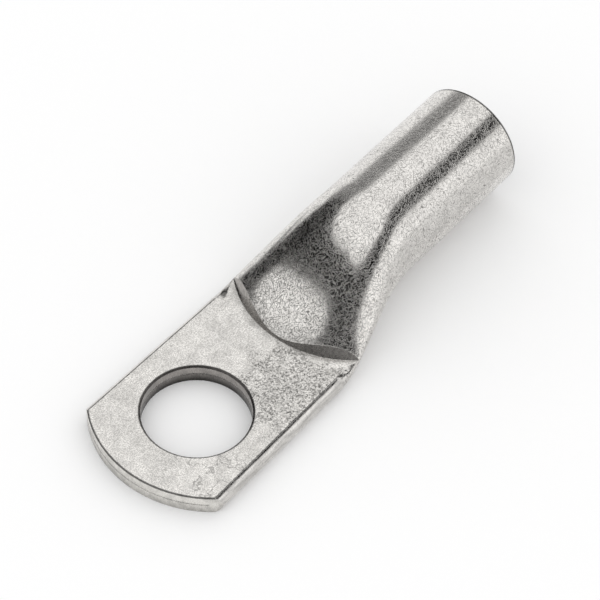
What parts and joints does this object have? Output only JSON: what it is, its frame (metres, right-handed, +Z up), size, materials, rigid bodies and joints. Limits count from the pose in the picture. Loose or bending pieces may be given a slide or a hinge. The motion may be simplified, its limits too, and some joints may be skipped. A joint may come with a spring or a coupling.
{
  "type": "tube cable lug",
  "caption": "Tinned copper tube lug: round crimp barrel that flattens into a pressed palm with a bolt hole and a rounded end.",
  "frame": {"origin": "centre of the bolt hole, on the underside of the palm", "axes": "+X along the lug towards the mouth of the barrel, +Z up through the bolt hole, out of the palm's top face"},
  "size_m": [0.051, 0.0166, 0.011],
  "materials": {
    "tinned_copper": "satin tin plating over copper, covered in fine tumbling marks"
  },
  "bodies": {
    "root": {"tube_lug": "tinned_copper"}
  },
  "joints": []
}
